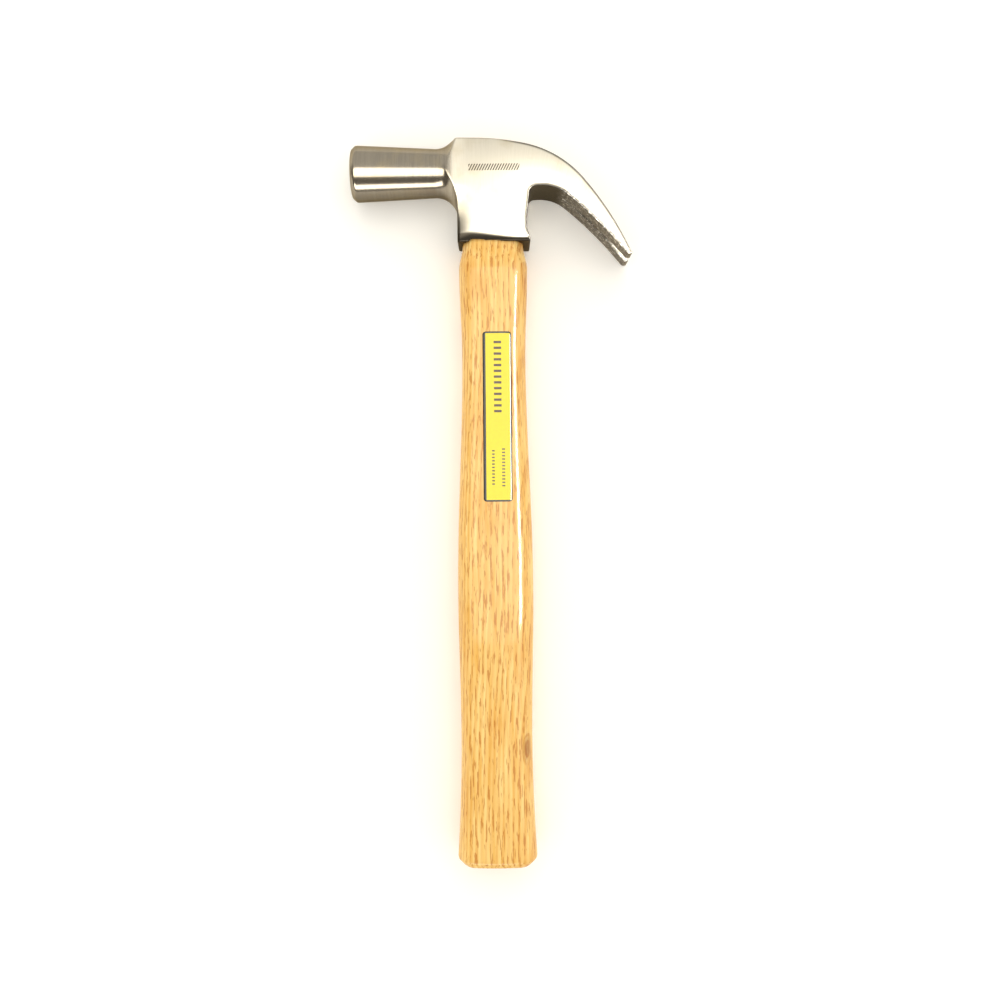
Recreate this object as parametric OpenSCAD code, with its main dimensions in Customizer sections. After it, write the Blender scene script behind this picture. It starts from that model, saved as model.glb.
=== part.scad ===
// Claw hammer lying on its side: a forged steel head on a flattened wooden handle.
// One wooden wedge and two steel wedges hold the handle in the eye of the head.
// Millimetres. +X is toward the claw, +Y toward the head, +Z up from the bench.
// The origin is on the bench, under the handle's axis, half way along the hammer.

/* [Overall] */
// Butt of the handle to the top of the head
overall_length = 330; // [315:1:345]
// Cheek to cheek, the poll's diameter, and the thickness of the handle's belly and butt
head_thickness = 25.4; // [25:0.1:26]

/* [Poll and striking face] */
// Handle axis to the striking face
poll_reach = 64.8; // [58:0.1:70]
// Flat of the striking face, inside its chamfer
face_diameter = 21.4; // [19:0.1:23]
// Length of the chamfer along the poll
face_chamfer_length = 2.3; // [1:0.1:4]
// Poll at its narrowest, next to the eye block
neck_diameter = 21.8; // [20:0.1:23]
// Radius of the flare from the neck into the eye block
neck_flare_radius = 10; // [9.5:0.1:11]

/* [Eye block] */
// Top of the head to the bottom rim of the socket
block_depth = 46.5; // [44:0.5:48]
// Handle axis to the poll side of the block
block_poll_side = 16; // [15.8:0.1:17]
// Handle axis to the claw side of the socket, at its narrowest
socket_claw_side = 15.4; // [15.2:0.1:15.6]
// How far the socket's rim flares out under the claw
rim_flare = 1.7; // [1:0.1:2]
// Rounding of the cheeks into the bottom rim
rim_round = 3; // [1.5:0.1:3.2]
// Bevel on the socket's poll-side corners, at the rim
corner_bevel = 2.6; // [1:0.1:2.8]

/* [Claw] */
// Radius of the crown where it leaves the flat top
crown_radius = 115; // [112:1:118]
// Radius of the claw's shoulder
shoulder_radius = 48.4; // [47.5:0.1:49.5]
// Radius of the claw's long outer curve
outer_radius = 143.9; // [140:1:148]
// Radius of the arch under the root of the claw
arch_radius = 18.6; // [18.2:0.1:19]
// Radius of the claw's long inner curve
inner_radius = 180; // [176:1:190]
// Fillet between the socket and the arch
arch_fillet = 3.1; // [2.6:0.1:3.4]
// Angle of the nail slot's V, each side
slot_half_angle = 5.2; // [4.6:0.1:5.6]
// Lean of the slot's walls, so that it is wider underneath
slot_wall_lean = 8; // [4:0.5:10]

/* [Eye] */
// Width of the eye at its mouth, poll side to claw side
mouth_width = 28.4; // [27:0.1:28.6]
// Thickness of the eye at its mouth, cheek to cheek
mouth_thickness = 19.8; // [19:0.1:20.4]
// Width of the eye above its tapered mouth
eye_width = 25; // [24:0.1:26]
// Thickness of the eye above its tapered mouth
eye_thickness = 17.2; // [16.5:0.1:18]
// Depth of the tapered mouth
mouth_depth = 12; // [8:0.5:16]

/* [Handle] */
// Width just below the head
shoulder_width = 31.4; // [30:0.1:32]
// Thickness just below the head
shoulder_thickness = 22.8; // [22:0.1:24]
// Width at the waist
waist_width = 29.2; // [28:0.1:30]
// Thickness at the waist
waist_thickness = 21.6; // [20:0.1:23]
// Width at the belly of the grip
belly_width = 34.7; // [33:0.1:36]
// Width at the narrow part behind the belly
grip_neck_width = 32.7; // [31:0.1:33]
// Thickness at the narrow part behind the belly
grip_neck_thickness = 24.6; // [23.5:0.1:25]
// Width at the butt
butt_width = 36.9; // [35:0.1:38]
// Bevel round the end of the butt
butt_bevel = 2.7; // [1:0.1:3.5]

/* [Wedges] */
// Depth of the wooden wedge
wood_wedge_depth = 30; // [24:1:34]
// Thickness of the wooden wedge at its top
wood_wedge_top = 3.6; // [3:0.1:4.5]
// Depth of each steel wedge
steel_wedge_depth = 18; // [14:1:22]
// Thickness of each steel wedge at its top
steel_wedge_top = 2.4; // [2:0.1:3]
// Length of each steel wedge across the wooden one
steel_wedge_span = 12; // [10:0.5:14]
// Handle axis to the middle of each steel wedge
steel_wedge_offset = 6.5; // [5:0.1:7.5]

/* [Label] */
// Width of the label
label_width = 13; // [10:0.5:15]
// Length of the label along the handle
label_length = 76.8; // [60:0.2:90]
// Thickness of the label
label_thickness = 0.2; // [0.1:0.05:0.3]

/* [Hidden] */
$fn = 180;
overshoot = 1;

half_thickness = head_thickness / 2;
top_y = overall_length / 2;
butt_y = -overall_length / 2;
rim_y = top_y - block_depth;
poll_radius = half_thickness;
poll_axis_y = top_y - poll_radius;

// The top of the head: flat, then a shallow crown, the claw's shoulder and its long outer curve.
crown_start_x = -9.9;
crown_end_angle = 77.7;
shoulder_end_angle = 40.2;
claw_tip_y = top_y - 53.2;
crown_centre = [crown_start_x, top_y - crown_radius];
crown_end = crown_centre + crown_radius * direction(crown_end_angle);
shoulder_centre = crown_end - shoulder_radius * direction(crown_end_angle);
shoulder_end = shoulder_centre + shoulder_radius * direction(shoulder_end_angle);
outer_centre = shoulder_end - outer_radius * direction(shoulder_end_angle);
outer_tip_angle = asin((claw_tip_y - outer_centre[1]) / outer_radius);

// The underside: a fillet up from the socket, a round arch, then a long flatter curve to the tip.
arch_centre = [22.1, top_y - 40.4];
arch_start_angle = 98.6;
arch_end_angle = 50.7;
arch_start = arch_centre + arch_radius * direction(arch_start_angle);
arch_end = arch_centre + arch_radius * direction(arch_end_angle);
fillet_centre = arch_start - arch_fillet * direction(arch_start_angle);
inner_centre = arch_end - inner_radius * direction(arch_end_angle);
inner_tip_angle = asin((claw_tip_y - inner_centre[1]) / inner_radius);

// The nail slot opens along the claw's chord, from its apex to the tip.
slot_apex = [31, top_y - 22.5];
slot_heading = -47;
slot_run_out = 2;

// Stations along the handle, measured up from the butt.
grip_neck_from_butt = 58.5;
belly_from_butt = 125.5;
waist_from_butt = 232.5;
shoulder_from_butt = 272.5;
grip_neck_y = butt_y + grip_neck_from_butt;
belly_y = butt_y + belly_from_butt;
waist_y = butt_y + waist_from_butt;
shoulder_y = butt_y + shoulder_from_butt;
steps_per_curve = 10;
tenon_heights = [rim_y, rim_y + mouth_depth, top_y];
tenon_recess = 0.4;
wedge_point = 0.6;

label_middle = [1.5, 39.2];
label_corner = 1.2;

steel_colour = [0.72, 0.71, 0.68];
wood_colour = [0.86, 0.62, 0.33];
wedge_wood_colour = [0.74, 0.52, 0.3];
wedge_steel_colour = [0.42, 0.42, 0.44];
label_colour = [0.95, 0.88, 0.2];

function direction(angle) = [cos(angle), sin(angle)];
function arc(centre, radius, angle1, angle2, steps) =
    [for (i = [0:steps]) centre + radius * direction(angle1 + (angle2 - angle1) * i / steps)];
function ease(u) = (1 - cos(180 * u)) / 2;
function between(y, y1, v1, y2, v2) = v1 + (v2 - v1) * ease((y - y1) / (y2 - y1));
// The butt flares late, so its curve is a parabola.
function flare(y, v1, v2) = v1 + (v2 - v1) * pow((grip_neck_y - y) / (grip_neck_y - butt_y), 2);

// Half of a handle size at height y, from the sizes at its stations.
function handle_half(y, butt, grip_neck, belly, waist, shoulder) =
    y < grip_neck_y ? flare(y, grip_neck, butt) / 2
    : y < belly_y ? between(y, grip_neck_y, grip_neck, belly_y, belly) / 2
    : y < waist_y ? between(y, belly_y, belly, waist_y, waist) / 2
    : between(y, waist_y, waist, shoulder_y, shoulder) / 2;
function half_width(y) =
    handle_half(y, butt_width, grip_neck_width, belly_width, waist_width, shoulder_width);
function half_flat(y) =
    handle_half(y, head_thickness, grip_neck_thickness, head_thickness, waist_thickness, shoulder_thickness);

// Half of an eye size at height y, from its sizes at the mouth and above it.
function eye_half(y, mouth, above) =
    y < rim_y + mouth_depth ? (above + (mouth - above) * (rim_y + mouth_depth - y) / mouth_depth) / 2 : above / 2;

// Heights of the handle's stations with even steps between them.
function steps(y1, y2) = [for (i = [0:steps_per_curve - 1]) y1 + (y2 - y1) * i / steps_per_curve];
handle_heights = concat(
    steps(butt_y + butt_bevel, grip_neck_y),
    steps(grip_neck_y, belly_y),
    steps(belly_y, waist_y),
    steps(waist_y, shoulder_y),
    [shoulder_y]
);

// Turns a shape drawn with its axis on Z so that the axis runs along +Y.
module along_y() {
    rotate([-90, 0, 0])
        children();
}

// Extrudes a (Y, Z) outline along X, from x1 to x2.
module along_x(x1, x2) {
    translate([x1, 0, 0])
        rotate([90, 0, 90])
            linear_extrude(x2 - x1)
                children();
}

// Round poll with its chamfered face, and the flare that runs into the block.
module poll() {
    neck_radius = neck_diameter / 2;
    flare_x = -block_poll_side - neck_flare_radius;
    flare_top = neck_radius + neck_flare_radius;
    translate([0, poll_axis_y, half_thickness])
        rotate([0, 90, 0])
            rotate_extrude()
                polygon([
                    [0, -poll_reach],
                    [face_diameter / 2, -poll_reach],
                    [poll_radius, -poll_reach + face_chamfer_length],
                    [neck_radius, flare_x],
                    [neck_radius, flare_x + overshoot],
                    [0, flare_x + overshoot]
                ]);
    intersection() {
        translate([0, poll_axis_y, half_thickness])
            rotate([0, 90, 0])
                rotate_extrude()
                    difference() {
                        translate([0, flare_x])
                            square([flare_top, neck_flare_radius + overshoot]);
                        translate([flare_top, flare_x])
                            circle(r = neck_flare_radius);
                    }
        translate([flare_x, 0, 0])
            cube([neck_flare_radius + overshoot, top_y, head_thickness]);
    }
}

// Side outline of the eye block and claw.
module head_outline() {
    polygon(concat(
        [[-block_poll_side, rim_y], [-block_poll_side, top_y]],
        arc(crown_centre, crown_radius, 90, crown_end_angle, 10),
        arc(shoulder_centre, shoulder_radius, crown_end_angle, shoulder_end_angle, 18),
        arc(outer_centre, outer_radius, shoulder_end_angle, outer_tip_angle, 12),
        arc(inner_centre, inner_radius, inner_tip_angle, arch_end_angle, 10),
        arc(arch_centre, arch_radius, arch_end_angle, arch_start_angle, 16),
        arc(fillet_centre, arch_fillet, arch_start_angle, 180, 12),
        [
            [socket_claw_side, rim_y + 11],
            [socket_claw_side, rim_y + 6],
            [socket_claw_side + rim_flare, rim_y + 1],
            [socket_claw_side + rim_flare, rim_y]
        ]
    ));
}

// Cuts along the rim and the poll-side corner of one cheek, which lies at Z = 0 here.
module cheek_edge_cuts() {
    along_x(-block_poll_side - overshoot, socket_claw_side + rim_flare + overshoot)
        difference() {
            translate([rim_y - overshoot, -overshoot])
                square([rim_round + overshoot, rim_round + overshoot]);
            translate([rim_y + rim_round, rim_round])
                circle(r = rim_round);
        }
    corner_bevel_cut();
}

// Bevel on the socket's poll-side corner. It fades out on the way up to the flare.
module corner_bevel_cut() {
    fade_height = 22;
    fade_angle = atan(corner_bevel / sqrt(2) / fade_height);
    cut_size = 12;
    translate([-block_poll_side + corner_bevel / 2, rim_y, corner_bevel / 2])
        rotate([0, 45, 0])
            rotate([0, 0, fade_angle])
                translate([-cut_size, -cut_size, -cut_size])
                    cube([cut_size, cut_size + 2 * fade_height, 2 * cut_size]);
}

// One leaning wall of the nail slot's V: everything between it and the slot's middle.
module slot_half_space() {
    reach = 80;
    rotate([0, 0, slot_heading])
        rotate([0, -slot_half_angle, 0])
            rotate([-slot_wall_lean, 0, 0])
                translate([-reach / 2, -reach / 2, -reach])
                    cube([2 * reach, reach, reach]);
}

// The nail slot: the space between its two leaning walls, in the claw only.
module nail_slot() {
    intersection() {
        translate([slot_apex[0], slot_apex[1], half_thickness])
            intersection() {
                slot_half_space();
                mirror([0, 0, 1])
                    slot_half_space();
            }
        translate([slot_apex[0] - slot_run_out, claw_tip_y - overshoot, -overshoot])
            cube([2 * slot_apex[0], top_y - claw_tip_y + 2 * overshoot, head_thickness + 2 * overshoot]);
    }
}

// The eye: a round with two flats about the handle's axis, wider toward its mouth.
module eye() {
    heights = [rim_y - overshoot, rim_y + mouth_depth, top_y + overshoot];
    intersection() {
        translate([0, 0, half_thickness])
            along_y()
                rotate_extrude()
                    polygon(concat(
                        [[0, heights[0]]],
                        [for (y = heights) [eye_half(y, mouth_width, eye_width), y]],
                        [[0, heights[2]]]
                    ));
        along_x(-mouth_width, mouth_width)
            translate([0, half_thickness])
                polygon(concat(
                    [for (y = heights) [y, eye_half(y, mouth_thickness, eye_thickness)]],
                    [for (i = [2, 1, 0]) [heights[i], -eye_half(heights[i], mouth_thickness, eye_thickness)]]
                ));
    }
}

// Space under the head's top surface, lowered by the recess of the tenon.
module under_crown() {
    translate([0, 0, -overshoot])
        linear_extrude(head_thickness + 2 * overshoot)
            polygon(concat(
                [[-mouth_width, butt_y - overshoot], [-mouth_width, top_y - tenon_recess]],
                arc(crown_centre, crown_radius - tenon_recess, 90, crown_end_angle, 10),
                [[mouth_width, top_y / 2], [mouth_width, butt_y - overshoot]]
            ));
}

// Forged steel head: poll, eye block and split claw in one piece.
module head() {
    color(steel_colour) {
        poll();
        difference() {
            linear_extrude(head_thickness)
                head_outline();
            cheek_edge_cuts();
            translate([0, 0, head_thickness])
                mirror([0, 0, 1])
                    cheek_edge_cuts();
            nail_slot();
            eye();
        }
    }
}

// Wooden wedge's taper, thick at the top of the eye.
module wood_wedge_taper() {
    point_y = top_y - wood_wedge_depth;
    along_x(-mouth_width, mouth_width)
        translate([0, half_thickness])
            polygon([
                [point_y, -wedge_point / 2],
                [top_y + overshoot, -wood_wedge_top / 2],
                [top_y + overshoot, wood_wedge_top / 2],
                [point_y, wedge_point / 2]
            ]);
}

// Steel wedge's taper, side = -1 for the poll side and 1 for the claw side.
module steel_wedge_taper(side) {
    point_y = top_y - steel_wedge_depth;
    translate([side * steel_wedge_offset, 0, half_thickness - steel_wedge_span / 2])
        linear_extrude(steel_wedge_span)
            polygon([
                [-wedge_point / 2, point_y],
                [-steel_wedge_top / 2, top_y + overshoot],
                [steel_wedge_top / 2, top_y + overshoot],
                [wedge_point / 2, point_y]
            ]);
}

// Round body of the handle before its two sides are flattened.
module handle_round() {
    translate([0, 0, half_thickness])
        along_y()
            rotate_extrude()
                polygon(concat(
                    [[0, butt_y], [half_width(butt_y) - butt_bevel, butt_y]],
                    [for (y = handle_heights) [half_width(y), y]],
                    [for (y = tenon_heights) [eye_half(y, mouth_width, eye_width), y]],
                    [[0, top_y]]
                ));
}

// Space between the handle's two flattened sides, grown by extra on each side.
module between_flats(extra) {
    along_x(-butt_width, butt_width)
        translate([0, half_thickness])
            polygon(concat(
                [[butt_y, half_flat(butt_y) - butt_bevel + extra]],
                [for (y = handle_heights) [y, half_flat(y) + extra]],
                [for (y = tenon_heights) [y, eye_half(y, mouth_thickness, eye_thickness) + extra]],
                [for (i = [2, 1, 0])
                    [tenon_heights[i], -eye_half(tenon_heights[i], mouth_thickness, eye_thickness) - extra]],
                [for (i = [len(handle_heights) - 1:-1:0])
                    [handle_heights[i], -half_flat(handle_heights[i]) - extra]],
                [[butt_y, -half_flat(butt_y) + butt_bevel - extra]]
            ));
}

// Wooden handle from the butt to the top of the eye, slotted for the wedges.
module handle() {
    color(wood_colour)
        difference() {
            intersection() {
                handle_round();
                between_flats(0);
                under_crown();
            }
            wood_wedge_taper();
            steel_wedge_taper(-1);
            steel_wedge_taper(1);
        }
}

// Wooden wedge across the whole eye, notched where the steel wedges cross it.
module wood_wedge() {
    color(wedge_wood_colour)
        difference() {
            intersection() {
                wood_wedge_taper();
                eye();
                under_crown();
            }
            steel_wedge_taper(-1);
            steel_wedge_taper(1);
        }
}

// Steel wedge on the poll side of the eye.
module steel_wedge_1() {
    color(wedge_steel_colour)
        intersection() {
            steel_wedge_taper(-1);
            under_crown();
        }
}

// Steel wedge on the claw side of the eye.
module steel_wedge_2() {
    color(wedge_steel_colour)
        intersection() {
            steel_wedge_taper(1);
            under_crown();
        }
}

// Thin label bent to the upper flat of the handle.
module label() {
    straight = [label_width - 2 * label_corner, label_length - 2 * label_corner];
    color(label_colour)
        intersection() {
            difference() {
                between_flats(label_thickness);
                between_flats(0);
            }
            translate([label_middle[0], label_middle[1], half_thickness])
                linear_extrude(head_thickness) {
                    square([label_width, straight[1]], center = true);
                    square([straight[0], label_length], center = true);
                    for (x = [-1, 1], y = [-1, 1])
                        translate([x * straight[0] / 2, y * straight[1] / 2])
                            circle(r = label_corner);
                }
        }
}

head();
handle();
wood_wedge();
steel_wedge_1();
steel_wedge_2();
label();
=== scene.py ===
import math

import bpy
import numpy as np
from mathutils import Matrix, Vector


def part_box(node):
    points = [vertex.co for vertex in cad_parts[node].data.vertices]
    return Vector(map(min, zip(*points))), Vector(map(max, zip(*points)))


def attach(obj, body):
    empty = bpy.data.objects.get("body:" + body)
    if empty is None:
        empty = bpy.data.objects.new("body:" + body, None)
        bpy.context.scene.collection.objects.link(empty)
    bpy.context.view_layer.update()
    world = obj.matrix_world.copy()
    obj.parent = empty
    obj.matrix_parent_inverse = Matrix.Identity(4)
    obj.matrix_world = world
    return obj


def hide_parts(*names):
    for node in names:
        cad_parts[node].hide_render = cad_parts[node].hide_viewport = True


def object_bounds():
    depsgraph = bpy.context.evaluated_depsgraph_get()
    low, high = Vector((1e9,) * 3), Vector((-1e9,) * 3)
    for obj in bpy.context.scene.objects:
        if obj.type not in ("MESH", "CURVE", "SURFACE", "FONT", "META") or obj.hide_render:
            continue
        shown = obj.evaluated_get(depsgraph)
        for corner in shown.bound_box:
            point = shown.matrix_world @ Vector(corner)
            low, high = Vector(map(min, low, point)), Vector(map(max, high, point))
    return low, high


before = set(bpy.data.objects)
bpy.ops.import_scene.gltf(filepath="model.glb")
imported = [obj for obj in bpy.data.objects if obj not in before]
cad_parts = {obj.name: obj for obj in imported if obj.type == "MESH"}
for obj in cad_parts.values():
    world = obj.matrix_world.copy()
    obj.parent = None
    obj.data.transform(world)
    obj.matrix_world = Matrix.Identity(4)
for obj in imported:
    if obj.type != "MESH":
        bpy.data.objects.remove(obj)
cad_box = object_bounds()
mm = 0.001

# ------------------------------------------------------------------------------------------
# Handle. One billet of straight-grained oak, turned and flattened on two sides, sanded and
# dipped in clear gloss lacquer. Its top is a tenon that fills the eye of the head.
# ------------------------------------------------------------------------------------------

handle_low, handle_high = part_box("handle")
axis_x = (handle_low[0] + handle_high[0]) / 2 / mm
axis_z = (handle_low[2] + handle_high[2]) / 2 / mm
butt_y = handle_low[1] / mm

# Up from the butt: height, width, thickness and the radius where a flat meets the round.
HANDLE_STATIONS = [
    (0, 36.9, 25.4, 5.0),
    (58.5, 32.7, 24.6, 6.0),
    (125.5, 34.7, 25.4, 6.0),
    (232.5, 29.2, 21.6, 5.0),
    (272.5, 31.4, 22.8, 4.0),
    (283.5, 27.9, 19.6, 2.2),
    (295.5, 24.9, 17.1, 1.5),
    (330, 24.9, 17.1, 1.5),
]
BUTT_BEVEL = 2.7
FLAT_CROWN_RADIUS = 70  # the flats are sanded on a soft wheel, so they are slightly domed


def ease(t):
    """0 to 1 with a level start and end."""
    return (1 - math.cos(math.pi * t)) / 2


def handle_size(height):
    """Half width, half thickness and corner radius of the handle at a height above the butt."""
    for lower, upper in zip(HANDLE_STATIONS, HANDLE_STATIONS[1:]):
        if height <= upper[0]:
            t = (height - lower[0]) / (upper[0] - lower[0])
            share = 1 - (1 - t) ** 2 if lower[0] == 0 else t if lower[0] > 280 else ease(t)
            sizes = [a + (b - a) * share for a, b in zip(lower[1:], upper[1:])]
            return sizes[0] / 2, sizes[1] / 2, sizes[2]


def handle_section(half_width, half_thickness, corner, arc_steps=12, corner_steps=8, flat_steps=8):
    """Outline of the handle cut across: round front and back, two slightly domed flats."""
    reach = half_width - corner
    middle_z = half_thickness - corner
    middle_x = math.sqrt(reach ** 2 - middle_z ** 2)
    meeting = math.atan2(middle_z, middle_x)
    dome = middle_x / FLAT_CROWN_RADIUS
    quarter = [(half_width * math.cos(a), half_width * math.sin(a))
               for a in np.linspace(0, meeting, arc_steps, endpoint=False)]
    quarter += [(middle_x + corner * math.cos(a), middle_z + corner * math.sin(a))
                for a in np.linspace(meeting, math.pi / 2 - dome, corner_steps, endpoint=False)]
    edge_z = middle_z + corner * math.cos(dome)
    quarter += [(x, edge_z - (x ** 2 - middle_x ** 2) / 2 / FLAT_CROWN_RADIUS)
                for x in np.linspace(middle_x, 0, flat_steps, endpoint=False)]
    top = max(z for x, z in quarter + [(0, edge_z + middle_x ** 2 / 2 / FLAT_CROWN_RADIUS)])
    quarter = [(x, z * half_thickness / top) for x, z in quarter]
    half = quarter + [(0, half_thickness)] + [(-x, z) for x, z in reversed(quarter[1:])]
    return half + [(-x, -z) for x, z in half]


def loft(name, rings):
    """A closed mesh object through rings of equal length, each end fanned to its middle."""
    count = len(rings[0])
    points = [p for ring in rings for p in ring]
    faces = []
    for r in range(len(rings) - 1):
        for i in range(count):
            j = (i + 1) % count
            faces.append((r * count + i, r * count + j, (r + 1) * count + j, (r + 1) * count + i))
    for ring_index, order in ((0, -1), (len(rings) - 1, 1)):
        ring = rings[ring_index]
        middle = len(points)
        points.append(tuple(sum(p[a] for p in ring) / count for a in range(3)))
        for i in range(count):
            edge = (ring_index * count + i, ring_index * count + (i + 1) % count)
            faces.append((edge[::order]) + (middle,))
    mesh = bpy.data.meshes.new(name)
    mesh.from_pydata([tuple(c * mm for c in p) for p in points], [], faces)
    mesh.polygons.foreach_set("use_smooth", [True] * len(mesh.polygons))
    piece = bpy.data.objects.new(name, mesh)
    bpy.context.collection.objects.link(piece)
    return piece


HEAD_CROWN = (-9.9, 50.0, 115.0)  # middle x, middle y and radius of the head's top surface
TENON_RECESS = 0.55


def tenon_top(x):
    """Height of the sawn tenon, which follows the head's crown a little below it."""
    rise = max(x - HEAD_CROWN[0], 0)
    return HEAD_CROWN[1] + math.sqrt(HEAD_CROWN[2] ** 2 - rise ** 2) - TENON_RECESS


# The butt's flat end and its bevel: how far each ring lies in from the outline, and its height.
BUTT_RINGS = ((14, 0), (9, 0), (5, 0), (3.1, 0), (BUTT_BEVEL, 0.12), (2.3, 0.4), (1.3, 1.4), (0.4, 2.4))
rings = []
butt_outline = handle_size(0)
for inset, rise in BUTT_RINGS:
    shape = (butt_outline[0] - inset, butt_outline[1] - inset * 0.75, butt_outline[2])
    if inset > 6:
        shape = (shape[0], min(shape[1], shape[0] - 1.0), 1.0)
    rings.append([(axis_x + x, butt_y + rise, axis_z + z) for x, z in handle_section(*shape)])
ring_heights = np.concatenate([
    np.arange(3.2, 272, 1.6), np.arange(272.5, 296.5, 0.8), np.arange(298, 324, 3)])
for height in ring_heights:
    size = handle_size(height)
    rings.append([(axis_x + x, butt_y + height, axis_z + z) for x, z in handle_section(*size)])
eye_section = handle_section(*handle_size(330))
for share in (1.0, 0.96, 0.8, 0.6, 0.4, 0.2):
    rings.append([(axis_x + share * x, tenon_top(share * x), axis_z + share * z) for x, z in eye_section])
handle = loft("oak_handle", rings)


def colour(code):
    """Linear colour of an sRGB hex code."""
    parts = [int(code[i:i + 2], 16) / 255 for i in (1, 3, 5)]
    return tuple(p / 12.92 if p <= 0.04045 else ((p + 0.055) / 1.055) ** 2.4 for p in parts) + (1.0,)


def empty_material(name):
    """A node material with nothing in it yet."""
    material = bpy.data.materials.new(name)
    material.use_nodes = True
    material.node_tree.nodes.clear()
    return material


def add(material, kind, inputs=None, **settings):
    """Adds a node: settings are its options, inputs its values or the outputs linked to it."""
    made = material.node_tree.nodes.new(kind)
    for name, value in settings.items():
        setattr(made, name, value)
    for name, value in (inputs or {}).items():
        if isinstance(value, bpy.types.NodeSocket):
            material.node_tree.links.new(value, made.inputs[name])
        else:
            made.inputs[name].default_value = value
    return made.outputs


FACTOR, COLOUR_A, COLOUR_B, COLOUR_OUT = 0, 6, 7, 2  # sockets of a Mix node that mixes colours


# Lacquered oak: growth rings about 2.3 mm apart seen on edge on the flats and in long arches
# on the rounds, with open pores that show as dark dashes. Clear lacquer gives a wet gloss.
oak = empty_material("oak_sanded_and_gloss_lacquered")
place = add(oak, "ShaderNodeTexCoord")["Object"]
RING_SPACING = 2.3 * mm
PITH = (-58 * mm, 0, -6 * mm)  # the billet is split from well outside the heart of the log
GRAIN_RUNOUT = math.radians(2.4)

slow_wander = add(oak, "ShaderNodeTexNoise", {
    "Vector": add(oak, "ShaderNodeMapping", {
        "Vector": place, "Scale": (1 / (28 * mm), 1 / (95 * mm), 1 / (28 * mm))})["Vector"],
    "Scale": 1, "Detail": 2, "Roughness": 0.5})["Fac"]
quick_wander = add(oak, "ShaderNodeTexNoise", {
    "Vector": add(oak, "ShaderNodeMapping", {
        "Vector": place, "Scale": (1 / (5 * mm), 1 / (26 * mm), 1 / (5 * mm))})["Vector"],
    "Scale": 1, "Detail": 2, "Roughness": 0.5})["Fac"]
KNOT_MIDDLE = (13.5, -111, 21)
KNOT_REACH = (5, 9, 6)
knot_distance = add(oak, "ShaderNodeVectorMath", {
    0: add(oak, "ShaderNodeMapping", {
        "Vector": place, "Location": tuple(-m / r for m, r in zip(KNOT_MIDDLE, KNOT_REACH)),
        "Scale": tuple(1 / (r * mm) for r in KNOT_REACH)})["Vector"]},
    operation="LENGTH")["Value"]
knot = add(oak, "ShaderNodeMapRange", {
    "Value": knot_distance, "From Min": 1.0, "From Max": 0.0, "To Min": 0.0, "To Max": 1.0},
    interpolation_type="SMOOTHSTEP")["Result"]

from_pith = add(oak, "ShaderNodeVectorMath", {
    0: add(oak, "ShaderNodeMapping", {
        "Vector": add(oak, "ShaderNodeMapping", {
            "Vector": place, "Location": tuple(-c for c in PITH),
            "Rotation": (0, 0, GRAIN_RUNOUT)})["Vector"],
        "Scale": (1, 0, 1)})["Vector"]},
    operation="LENGTH")["Value"]
SLOW_SWAY, QUICK_SWAY, KNOT_SWELL = 9.0 * mm, 1.1 * mm, 4.5 * mm
wandered = add(oak, "ShaderNodeMath", {
    0: slow_wander, 1: SLOW_SWAY, 2: from_pith}, operation="MULTIPLY_ADD")["Value"]
rippled = add(oak, "ShaderNodeMath", {
    0: quick_wander, 1: QUICK_SWAY, 2: wandered}, operation="MULTIPLY_ADD")["Value"]
knotted = add(oak, "ShaderNodeMath", {
    0: knot, 1: KNOT_SWELL, 2: rippled}, operation="MULTIPLY_ADD")["Value"]
ring_phase = add(oak, "ShaderNodeMath", {
    0: add(oak, "ShaderNodeMath", {0: knotted, 1: RING_SPACING}, operation="DIVIDE")["Value"]},
    operation="FRACT")["Value"]
ring_start = add(oak, "ShaderNodeMapRange", {
    "Value": ring_phase, "From Min": 0.0, "From Max": 0.1}, interpolation_type="SMOOTHSTEP")["Result"]
early_wood = add(oak, "ShaderNodeMapRange", {
    "Value": ring_phase, "From Min": 0.25, "From Max": 0.75, "To Min": 1.0, "To Max": 0.0},
    interpolation_type="SMOOTHSTEP")["Result"]
porous = add(oak, "ShaderNodeMath", {0: ring_start, 1: early_wood}, operation="MULTIPLY")["Value"]

# Pores: real ones are 0.3 mm across and 3 to 10 mm long; drawn about 0.7 mm across so that they show.
pore_noise = add(oak, "ShaderNodeTexNoise", {
    "Vector": add(oak, "ShaderNodeMapping", {
        "Vector": place, "Rotation": (0, 0, GRAIN_RUNOUT),
        "Scale": (1 / (0.75 * mm), 1 / (8 * mm), 1 / (0.75 * mm))})["Vector"],
    "Scale": 1, "Detail": 2, "Roughness": 0.55, "Distortion": 0.25})["Fac"]
pores = add(oak, "ShaderNodeMapRange", {
    "Value": add(oak, "ShaderNodeMath", {
        0: porous, 1: 0.085, 2: pore_noise}, operation="MULTIPLY_ADD")["Value"],
    "From Min": 0.6, "From Max": 0.66}, interpolation_type="SMOOTHSTEP")["Result"]
# Fibres: fine streaks between the pores.
fibres = add(oak, "ShaderNodeTexNoise", {
    "Vector": add(oak, "ShaderNodeMapping", {
        "Vector": place, "Rotation": (0, 0, GRAIN_RUNOUT),
        "Scale": (1 / (1.5 * mm), 1 / (34 * mm), 1 / (1.5 * mm))})["Vector"],
    "Scale": 1, "Detail": 4, "Roughness": 0.6})["Fac"]
# Blotches: the lacquer soaks unevenly into the softer patches.
blotches = add(oak, "ShaderNodeTexNoise", {
    "Vector": add(oak, "ShaderNodeMapping", {
        "Vector": place, "Scale": (1 / (11 * mm), 1 / (30 * mm), 1 / (11 * mm))})["Vector"],
    "Scale": 1, "Detail": 3, "Roughness": 0.55})["Fac"]

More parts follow.
